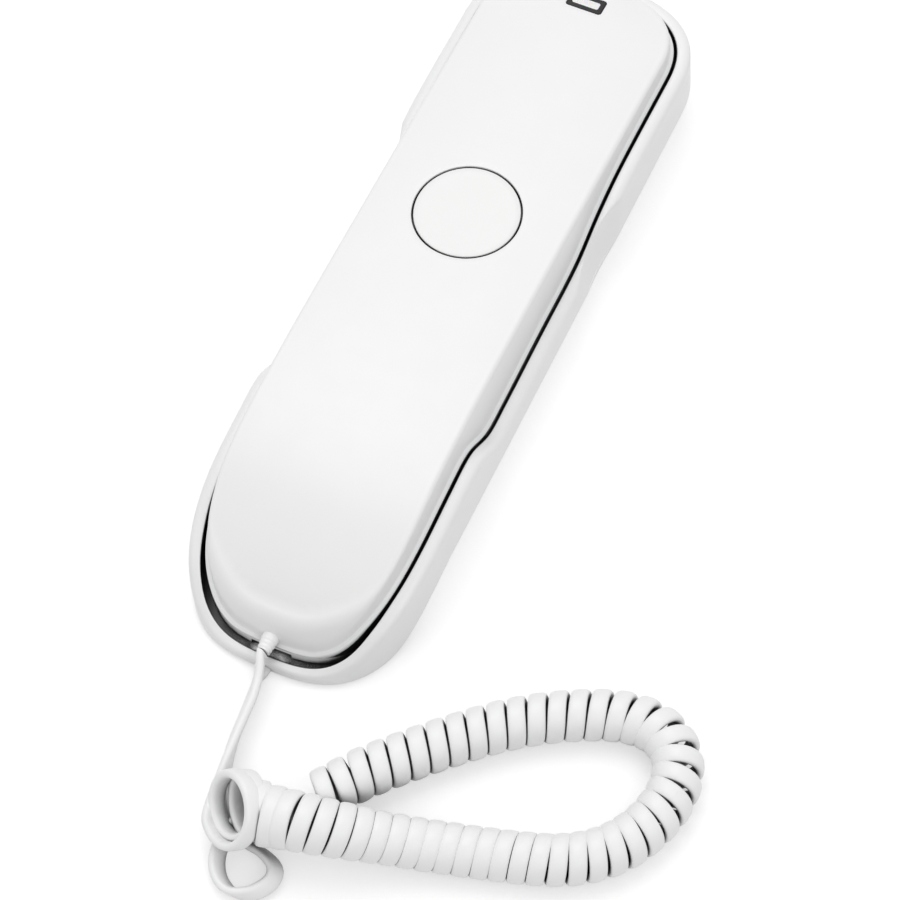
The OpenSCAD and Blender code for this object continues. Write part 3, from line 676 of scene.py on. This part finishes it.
def base_cover_skin():
    skin = Skin()
    rings = []
    flat = outline(0.0)
    edge = height(edge_knots, flat[:, 1])
    rim = height(rim_knots, flat[:, 1])
    roll = np.minimum(rim_roll, rim_roll_share * (rim - edge))
    roll_in = (rim_roll - nose_sharp * ramp(-flat[:, 1], nose_from, nose_full))[:, None]
    inside_roll = outline(rim_roll) - flat
    for f in np.linspace(0.0, 1.0, 12):
        z = edge + f * (rim - roll - edge)
        rings.append(skin.ring(scooped(flat, z), z))
    for a in np.radians([15, 30, 45, 60, 75, 90]):
        xy = flat + inside_roll * (roll_in / rim_roll) * (1 - math.cos(a))
        top = height(rim_knots, xy[:, 1])
        z = top - roll * (1 - math.sin(a))
        rings.append(skin.ring(scooped(xy, z), z))
    for a in np.radians([0, 30, 60, 90]):
        xy = cradle_line(rim_width - rim_inner_roll * (1 - math.sin(a)))
        top = height(rim_knots, xy[:, 1])
        rings.append(skin.ring(scooped(xy, top), top - rim_inner_roll * (1 - math.cos(a))))
    inner = cradle_line(rim_width)
    top = height(rim_knots, inner[:, 1]) - rim_inner_roll
    bottom = cradle_floor(inner[:, 0], inner[:, 1])
    for f in (0.33, 0.66, 1.0):
        rings.append(skin.ring(inner, top + f * (np.minimum(bottom, top - 0.2) - top)))
    skin.bands(rings[:-3])
    # The rim's inner wall and the cradle floor take the gap material, whose painted shade makes the gap
    # around the handset dark.
    skin.bands(rings[-4:], 1)
    well_line = rounded_rect(*well, 2.0)
    through = [circle(*plunger_xy, bore_radius), rounded_rect(*tab_slot, 0.6)]
    brims = [skin.ring(xy, cradle_floor(xy[:, 0], xy[:, 1])) for xy in [well_line] + through]
    skin.sheet(rings[-1], brims, cradle_floor, lambda y: 3.0, mark=1)
    well_foot = skin.ring(well_line, well_floor)
    skin.band(brims[0], well_foot)
    skin.sheet(well_foot, [], lambda x, y: np.full(len(x), well_floor), lambda y: 8.0)
    lower_holes = []
    for brim, xy in zip(brims[1:], through):
        lower_holes.append(skin.ring(xy, cradle_floor(xy[:, 0], xy[:, 1]) - floor_thick))
        skin.band(brim, lower_holes[-1])
    under = outline(cover_wall)
    lip = skin.ring(under, height(edge_knots, under[:, 1]))
    skin.band(lip, rings[0])
    ceiling = skin.ring(under, cover_underside(under[:, 0], under[:, 1]))
    skin.band(ceiling, lip)
    skin.sheet(ceiling, lower_holes, cover_underside, lambda y: 5.0, flip=True)
    return skin


base_cover = base_cover_skin().piece("base_upper_housing", [shell_white, gap_painted_shade])
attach(base_cover, "base")
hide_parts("base_cover")

# ---- Handset: back housing -----------------------------------------------------------
# The large white shell that is held in the hand. It is slightly crowned across, rolls down
# to the mouthpiece, and a fine step runs around its foot just above the cradle rim.
handset_inset = 4.2
handset_wall = 2.0
back_thick = 4.2
back_crown = 1.5
back_half = half_w - handset_inset
back_roll = 1.1
draft = 0.1
seam_gap = 0.12
step_in = 0.9
step_over_rim = 0.5
step_over_seam = 0.8
step_under_roll = 0.6
nose_rolls_from, nose_rolls_full = 82.0, 99.0
nose_roll_in = 3.6
nose_roll_down = 0.86
inset_radius = 13.55
inset_hole = 14.05
inset_y = 17.0
# Middle, width and length.
window = (0.0, 90.0, 10.0, 5.0)
brim_soft = 0.3
brim_flat = 1.4
pocket_depth = 2.4


def back_face(x, y):
    """Height of the handset's back."""
    return height(back_knots, y) - back_crown * np.minimum(1.3, (np.asarray(x) / back_half) ** 2)


def back_inside(x, y):
    """Height of the shell's inside, which never falls below its seam."""
    return np.maximum(back_face(x, y) - back_thick, height(seam_knots, y) + 0.8)


def handset_back_skin():
    skin = Skin()
    low = outline(handset_inset)
    seam = height(seam_knots, low[:, 1]) + seam_gap
    step = np.maximum(height(rim_knots, low[:, 1]) + step_over_rim, seam + step_over_seam)
    wall_inset = handset_inset + step_in
    brow_inset = wall_inset + draft
    nose = ramp(-low[:, 1], nose_rolls_from, nose_rolls_full)
    wall_line = outline(brow_inset)
    brow = wall_line + (outline(brow_inset + back_roll) - wall_line) \
        * (1 + nose * nose_roll_in / back_roll)[:, None]
    face_edge = back_face(brow[:, 0], brow[:, 1])
    roll_down = back_roll + nose * np.maximum(0, nose_roll_down * (face_edge - step) - back_roll)
    shoulder = face_edge - roll_down
    step = np.minimum(step, shoulder - step_under_roll)
    # The foot below the fine step takes the gap material, whose painted shade makes it dark in the cradle;
    # then the step itself and the wall above it.
    foot_rings = [skin.ring(low, seam + f * (step - 0.4 - seam)) for f in (0.0, 0.5, 1.0)]
    skin.bands(foot_rings, 1)
    rings = foot_rings[-1:]
    rings.append(skin.ring(outline(handset_inset + 0.1), step - 0.2))
    rings.append(skin.ring(outline(wall_inset - 0.15), step + 0.15))
    for f in (0.0, 0.15, 0.4, 0.7, 1.0):
        z = step + 0.3 + f * (shoulder - step - 0.3)
        rings.append(skin.ring(outline(wall_inset + f * draft), z))
    for a in np.radians(np.linspace(10, 90, 9)):
        xy = wall_line + (brow - wall_line) * (1 - math.cos(a))
        rings.append(skin.ring(xy, shoulder + roll_down * math.sin(a)))
    skin.bands(rings)
    brims = []
    for xy in (circle(0.0, inset_y, inset_hole, 96), rounded_rect(*window, 0.8)):
        levels = []
        for grow, sink in ((brim_flat, 0.0), (brim_soft, 0.0), (0.3 * brim_soft, 0.08), (0.0, brim_soft)):
            wider = grown(xy, grow)
            levels.append(skin.ring(wider, back_face(wider[:, 0], wider[:, 1]) - sink))
        brims.append(levels[0])
        wall = skin.ring(xy, back_face(xy[:, 0], xy[:, 1]) - pocket_depth)
        skin.bands(levels + [wall])
        skin.sheet(wall, [], lambda x, y: back_face(x, y) - pocket_depth, lambda y: 4.0)
    skin.sheet(rings[-1], brims, back_face, lambda y: 1.3 if y < -66 else 2.2)
    inner = outline(handset_inset + handset_wall)
    foot = skin.ring(inner, height(seam_knots, inner[:, 1]) + seam_gap)
    skin.band(foot, foot_rings[0])
    ceiling = skin.ring(inner, back_inside(inner[:, 0], inner[:, 1]))
    skin.band(ceiling, foot)
    skin.sheet(ceiling, [], back_inside, lambda y: 4.0, flip=True)
    return skin


handset_back = handset_back_skin().piece("handset_back_housing", [shell_white, gap_painted_shade])
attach(handset_back, "handset")
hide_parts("handset_back")

# ---- Handset: round inset ------------------------------------------------------------
# A plain disc moulded in the same white, pressed into the recess in the handset's back so
# that only a fine ring shows around it.
disc_edge = 0.25
disc_sink = 0.04
disc_thick = 2.2


def disc_face(x, y):
    return back_face(x, y) - disc_sink


def inset_skin():
    skin = Skin()
    rings = []
    for pull, sink in ((0.0, disc_thick), (0.0, disc_edge + 0.1), (0.06, disc_edge * 0.5),
                       (disc_edge * 0.6, 0.06), (disc_edge, 0.0), (1.6, 0.0)):
        xy = circle(0.0, inset_y, inset_radius - pull, 96)
        rings.append(skin.ring(xy, disc_face(xy[:, 0], xy[:, 1]) - sink))
    skin.bands(rings)
    skin.sheet(rings[-1], [], disc_face, lambda y: 2.4)
    skin.sheet(rings[0], [], lambda x, y: disc_face(x, y) - disc_thick, lambda y: 4.0, flip=True)
    return skin


inset_white = moulded("inset_white", (0.905, 0.905, 0.9), 0.42, grain_scale=1900.0)
round_inset = inset_skin().piece("round_inset_disc", [inset_white])
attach(round_inset, "handset")
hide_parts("round_inset")

# ---- Handset: lamp window ------------------------------------------------------------
# A frosted polycarbonate light pipe snapped in from inside. Its edge is printed black, so
# the lamp only shows through the pale middle.
lens_gap = 0.12
lens_sink = 0.12
lens_border = 1.35
lens_deep = 2.0


def lens_skin():
    skin = Skin()
    x, y, w, h = window
    rings = []
    for pull, sink in ((0.0, lens_deep), (0.0, 0.35), (0.1, 0.18), (0.25, lens_sink)):
        xy = rounded_rect(x, y, w - 2 * (lens_gap + pull), h - 2 * (lens_gap + pull), 0.7)
        rings.append(skin.ring(xy, back_face(xy[:, 0], xy[:, 1]) - sink))
    skin.bands(rings, 1)
    pale = rounded_rect(x, y, w - 2 * lens_border, h - 2 * lens_border, 0.5)
    pale_ring = skin.ring(pale, back_face(pale[:, 0], pale[:, 1]) - lens_sink)
    skin.band(rings[-1], pale_ring, 1)
    skin.sheet(pale_ring, [], lambda a, b: back_face(a, b) - lens_sink, lambda b: 1.0)
    skin.sheet(rings[0], [], lambda a, b: back_face(a, b) - lens_deep, lambda b: 2.0, flip=True, mark=1)
    return skin


lens_pale = moulded("lens_pale", (0.87, 0.87, 0.86), 0.2, grain=0.000005, coat=0.4)
lens_shader = lens_pale.node_tree.nodes["Principled BSDF"]
lens_shader.inputs["Subsurface Weight"].default_value = 0.4
lens_shader.inputs["Subsurface Scale"].default_value = 0.001
lens_print = moulded("lens_print", (0.008, 0.008, 0.009), 0.62, grain=0.000004)
lamp_window = lens_skin().piece("lamp_lens", [lens_pale, lens_print])
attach(lamp_window, "handset")
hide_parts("lamp_window")

# ---- Handset: cord boot --------------------------------------------------------------
# The soft PVC strain relief moulded onto the cord. Its flange sits behind the wall of the
# shell and its tapered nose has three shallow grooves, so that it can flex.
boot_y = -99.8
boot_z = 9.0
boot_flange = 3.2
boot_flange_soft = 0.2
boot_back = -4.4
boot_flange_front = -2.3
boot_neck = 2.2
boot_tip = 1.75
boot_out = 3.4
boot_ribs = 3
boot_sides = 32


def boot_profile():
    """Distance out of the wall and radius along the boot."""
    soft = boot_flange_soft
    rows = [(boot_back, 0.0), (boot_back, boot_flange - soft), (boot_back + soft, boot_flange),
            (boot_flange_front - soft, boot_flange), (boot_flange_front, boot_flange - soft),
            (boot_flange_front, boot_neck), (-0.2, boot_neck)]
    for k in range(boot_ribs):
        for at, sink in ((0.1, 0.0), (0.45, 0.0), (0.6, 0.16), (0.8, 0.16)):
            share = (k + at) / boot_ribs
            rows.append((share * boot_out * 0.94, boot_neck + (boot_tip - boot_neck) * share - sink))
    rows += [(boot_out - 0.12, boot_tip), (boot_out, boot_tip - 0.25), (boot_out, 0.0)]
    return rows


boot_skin = Skin()
boot_rings = []
boot_turn = np.arange(boot_sides) * 2 * math.pi / boot_sides
for out_by, r in boot_profile():
    r = max(r, 0.02)
    boot_rings.append(boot_skin.ring(
        np.stack([r * np.cos(boot_turn), np.full(boot_sides, boot_y - out_by)], axis=1),
        boot_z + r * np.sin(boot_turn)))
boot_skin.bands(boot_rings)
boot_skin.add(tuple(boot_rings[0][::-1]))
boot_skin.add(tuple(boot_rings[-1]))
cord_boot = boot_skin.piece("cord_boot_sleeve", [cord_pvc])
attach(cord_boot, "handset")
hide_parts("cord_boot")

# ---- Handset: keys -------------------------------------------------------------------
# Twelve digit keys and three narrow function keys, each a separate cap moulded in matt
# white ABS with a flange that stops it in its hole. The digits are pad printed in grey.
key_w = 11.0
key_h = 8.0
key_corner = 1.9
key_columns = 14.0
key_rows = 11.5
key_top_y = 30.0
function_y = -18.0
function_h = 5.5
key_low = 13.5
key_flange = 16.95
key_flange_thick = 0.6
key_flange_out = 0.8
key_crown = 0.35
digit_height = 4.2
digit_least = 0.62
ink_depth = 0.05
bar_w, bar_h, bar_corner = 4.0, 0.9, 0.24


def key_face(x, y, middle, w, h):
    """Height of a key's pressed face, which is crowned downwards."""
    u = np.clip(np.abs(x - middle[0]) / (w / 2), 0, 1)
    v = np.clip(np.abs(y - middle[1]) / (h / 2), 0, 1)
    return key_low + key_crown * (0.6 * u ** 2 + 0.4 * v ** 2)


def key_skin(middle, h):
    skin = Skin()
    x, y = middle
    rings = []
    top = key_flange + key_flange_thick
    for grow, z in ((key_flange_out, top), (key_flange_out, key_flange), (0.0, key_flange),
                    (0.0, key_low + 1.0)):
        rings.append(skin.ring(rounded_rect(x, y, key_w + 2 * grow, h + 2 * grow, key_corner), z))
    for pull, lift in ((0.1, 0.5), (0.3, 0.2), (0.6, 0.05), (0.9, 0.0)):
        xy = rounded_rect(x, y, key_w - 2 * pull, h - 2 * pull, key_corner - 0.5 * pull)
        rings.append(skin.ring(xy, key_face(xy[:, 0], xy[:, 1], middle, key_w, h) + lift))
    skin.bands([r[::-1] for r in rings])
    skin.sheet(rings[-1], [], lambda a, b: key_face(a, b, middle, key_w, h), lambda b: 1.2, flip=True)
    skin.sheet(rings[0], [], lambda a, b: np.full(len(a), top), lambda b: 3.0)
    return skin


def print_digit(skin, legend, middle):
    """Raised ink of one plain character, read from below with the earpiece up."""
    words = bpy.data.curves.new("legend", "FONT")
    words.body = legend
    words.size = 1.0
    words.align_x = "CENTER"
    words.extrude = 0.02
    words.resolution_u = 4
    holder = bpy.data.objects.new("legend", words)
    bpy.context.scene.collection.objects.link(holder)
    bpy.context.view_layer.update()
    shape = bpy.data.meshes.new_from_object(holder)
    bpy.data.objects.remove(holder)
    places = np.array([v.co[:] for v in shape.vertices])
    low, high = places.min(0), places.max(0)
    size = digit_height / max(high[1] - low[1], high[0] - low[0], digit_least)
    flat = (places - (low + high) / 2) * size
    x = middle[0] - flat[:, 0]
    y = middle[1] + flat[:, 1]
    z = key_face(x, y, middle, key_w, key_h) - np.where(places[:, 2] > 0, ink_depth, -ink_depth)
    start = len(skin.points)
    skin.points.extend([tuple(map(float, p)) for p in zip(x, y, z)])
    for face in shape.polygons:
        skin.add(tuple(start + v for v in face.vertices), 1)
    bpy.data.meshes.remove(shape)


def function_bar(skin, middle):
    """Raised rib that marks a function key for the fingers."""
    rings = []
    for pull, out_by in ((0.0, -0.1), (0.05, 0.12), (0.2, 0.2)):
        xy = rounded_rect(*middle, bar_w - 2 * pull, bar_h - 2 * pull, bar_corner)
        rings.append(skin.ring(xy, key_face(xy[:, 0], xy[:, 1], middle, key_w, function_h) - out_by))
    skin.bands([r[::-1] for r in rings])
    skin.add(tuple(rings[-1][::-1]))
    skin.add(tuple(rings[0]))


key_white = moulded("key_white", (0.86, 0.86, 0.855), 0.5, grain=0.00003, grain_scale=1100.0)
digit_ink = moulded("digit_ink", (0.12, 0.125, 0.13), 0.55, grain=0.000004)
legends = ["1", "2", "3", "4", "5", "6", "7", "8", "9", "*", "0", "#"]
sign_names = {"*": "star", "#": "hash"}
# Node, printed character, column, place along the phone and length of each key.
key_places = [("key_" + sign_names.get(legend, legend), legend, k % 3, key_top_y - (k // 3) * key_rows, key_h)
              for k, legend in enumerate(legends)]
key_places += [("key_" + name, None, k, function_y, function_h)
               for k, name in enumerate(("flash", "redial", "mute"))]
for node, legend, column, y, h in key_places:
    middle = ((1 - column) * key_columns, y)
    skin = key_skin(middle, h)
    if legend:
        print_digit(skin, legend, middle)
    else:
        function_bar(skin, middle)
    cap = skin.piece(node + "_cap", [key_white, digit_ink])
    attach(cap, node)
    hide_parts(node)

# ---- Finishes of the other parts -----------------------------------------------------
# The parts under the covers keep their plain construction and get the finish that each
# is made with: moulded plastics, rubber, board laminate, stamped and plated metal.
def metal(name, colour, roughness, brushed=260.0):
    """Rolled or turned metal with fine lines and a little tarnish."""
    material, tree, shader, where = new_material(name)
    shader.inputs["Metallic"].default_value = 1.0
    dull = [c * 0.82 for c in colour]
    tree.links.new(two_tone(tree, noise(tree, 120.0, 4.0, where), dull, colour),
                   shader.inputs["Base Color"])
    stretch = tree.nodes.new("ShaderNodeMapping")
    stretch.inputs["Scale"].default_value = (1.0, 14.0, 1.0)
    tree.links.new(where, stretch.inputs["Vector"])
    lines = noise(tree, brushed, 3.0, stretch.outputs["Vector"])
    tree.links.new(spread(tree, lines, roughness - 0.08, roughness + 0.1), shader.inputs["Roughness"])
    roughened(tree, shader, lines, 0.25, 0.00002)
    return material


def board_laminate(name):
    """Green solder mask over copper tracks on glass-epoxy board."""
    material = moulded(name, (0.05, 0.24, 0.11), 0.35, grain=0.00001, coat=0.3)
    tree = material.node_tree
    tracks = tree.nodes.new("ShaderNodeTexBrick")
    for socket, value in (("Scale", 120.0), ("Mortar Size", 0.03), ("Color1", (0.045, 0.22, 0.1, 1)),
                          ("Color2", (0.055, 0.26, 0.12, 1)), ("Mortar", (0.12, 0.36, 0.14, 1))):
        tracks.inputs[socket].default_value = value
    tree.links.new(tree.nodes["Texture Coordinate"].outputs["Object"], tracks.inputs["Vector"])
    tree.links.new(tracks.outputs["Color"], tree.nodes["Principled BSDF"].inputs["Base Color"])
    return material


# The moulded finishes also paint shade into each part's colour in its narrow gaps.
part_finish = {
    "cover_white": shell_white,
    "handset_white": shell_white,
    "inset_white": inset_white,
    "key_white": key_white,
    "lamp_clear": lens_pale,
    "cord_white": cord_pvc,
    "led_red": moulded("lamp_red", (0.75, 0.08, 0.06), 0.15, grain=0.000002, coat=0.6),
    "rubber_grey": moulded("silicone_grey", (0.32, 0.32, 0.33), 0.7, grain=0.00003, cloud=0.05),
    "rubber_black": moulded("foam_black", (0.06, 0.06, 0.06), 0.85, grain=0.0001, grain_scale=2400.0),
    "board_green": board_laminate("board_green"),
    "part_black": moulded("nylon_black", (0.05, 0.05, 0.06), 0.5, cloud=0.06),
    "jack_white": moulded("nylon_natural", (0.8, 0.8, 0.77), 0.45, cloud=0.03),
    "brass_disc": metal("brass_sheet", (0.78, 0.62, 0.3), 0.28),
    "steel": metal("zinc_plate", (0.62, 0.62, 0.63), 0.32),
    "ballast": metal("mild_steel", (0.3, 0.3, 0.31), 0.5, brushed=180.0),
    "speaker_grey": metal("capsule_steel", (0.35, 0.36, 0.37), 0.42),
}
for row in frame["record"]["subparts"]:
    node = frame["nodes"][row["node"]]
    node.data.materials.clear()
    node.data.materials.append(part_finish[row["material_slot"]])
    for face in node.data.polygons:
        face.material_index = 0

# ---- Studio --------------------------------------------------------------------------
# A seamless white table under two wide soft boxes and an even sky.
scene = bpy.context.scene
scene.view_settings.view_transform = "Standard"
sky_level = 0.6
table_glow = 0.52
floor_half = 3.0
floor_mesh = bpy.data.meshes.new("table")
floor_mesh.from_pydata([(-floor_half, -floor_half, 0), (floor_half, -floor_half, 0),
                        (floor_half, floor_half, 0), (-floor_half, floor_half, 0)], [], [(0, 1, 2, 3)])
floor = bpy.data.objects.new("table", floor_mesh)
scene.collection.objects.link(floor)


def seen_only(tree):
    """1 for what the camera sees directly, in a gloss or through something clear."""
    path = tree.nodes.new("ShaderNodeLightPath")
    total = path.outputs["Is Camera Ray"]
    for extra in ("Is Glossy Ray", "Is Transmission Ray"):
        add = tree.nodes.new("ShaderNodeMath")
        add.operation = "MAXIMUM"
        tree.links.new(total, add.inputs[0])
        tree.links.new(path.outputs[extra], add.inputs[1])
        total = add.outputs[0]
    return total


def told_apart(tree, for_light, for_camera, output):
    """Uses one shader for the light it gives and the other for what is seen."""
    choose = tree.nodes.new("ShaderNodeMixShader")
    tree.links.new(seen_only(tree), choose.inputs[0])
    tree.links.new(for_light.outputs[0], choose.inputs[1])
    tree.links.new(for_camera.outputs[0], choose.inputs[2])
    tree.links.new(choose.outputs[0], tree.nodes[output].inputs["Surface"])


table_white = bpy.data.materials.new("table_white")
table_white.use_nodes = True
tree = table_white.node_tree
tree.nodes.remove(tree.nodes["Principled BSDF"])
paint = tree.nodes.new("ShaderNodeBsdfDiffuse")
paint.inputs["Color"].default_value = (0.75, 0.75, 0.75, 1)
seen_paint = tree.nodes.new("ShaderNodeBsdfDiffuse")
seen_paint.inputs["Color"].default_value = (0.62, 0.62, 0.62, 1)
glow = tree.nodes.new("ShaderNodeEmission")
glow.inputs["Strength"].default_value = table_glow
glowing_paint = tree.nodes.new("ShaderNodeAddShader")
tree.links.new(seen_paint.outputs[0], glowing_paint.inputs[0])
tree.links.new(glow.outputs[0], glowing_paint.inputs[1])
told_apart(tree, paint, glowing_paint, "Material Output")
floor_mesh.materials.append(table_white)

world = bpy.data.worlds.new("studio")
scene.world = world
world.use_nodes = True
sky = world.node_tree.nodes["Background"]
sky.inputs["Color"].default_value = (1, 1, 1, 1)
sky.inputs["Strength"].default_value = sky_level
white = world.node_tree.nodes.new("ShaderNodeBackground")
white.inputs["Color"].default_value = (1, 1, 1, 1)
white.inputs["Strength"].default_value = 1.0
told_apart(world.node_tree, sky, white, "World Output")


def soft_box(name, place, aim, size, power):
    lamp = bpy.data.lights.new(name, "AREA")
    lamp.shape = "SQUARE"
    lamp.size = size
    lamp.energy = power
    obj = bpy.data.objects.new(name, lamp)
    scene.collection.objects.link(obj)
    obj.location = place
    obj.rotation_mode = "QUATERNION"
    obj.rotation_quaternion = (Vector(place) - Vector(aim)).to_track_quat("Z", "Y")
    return obj


soft_box("key_box", (-0.4, 0.45, 1.6), (0.0, 0.0, 0.0), 1.2, 9.6)
soft_box("fill_box", (0.9, -0.6, 1.3), (0.0, 0.0, 0.0), 1.0, 3.6)
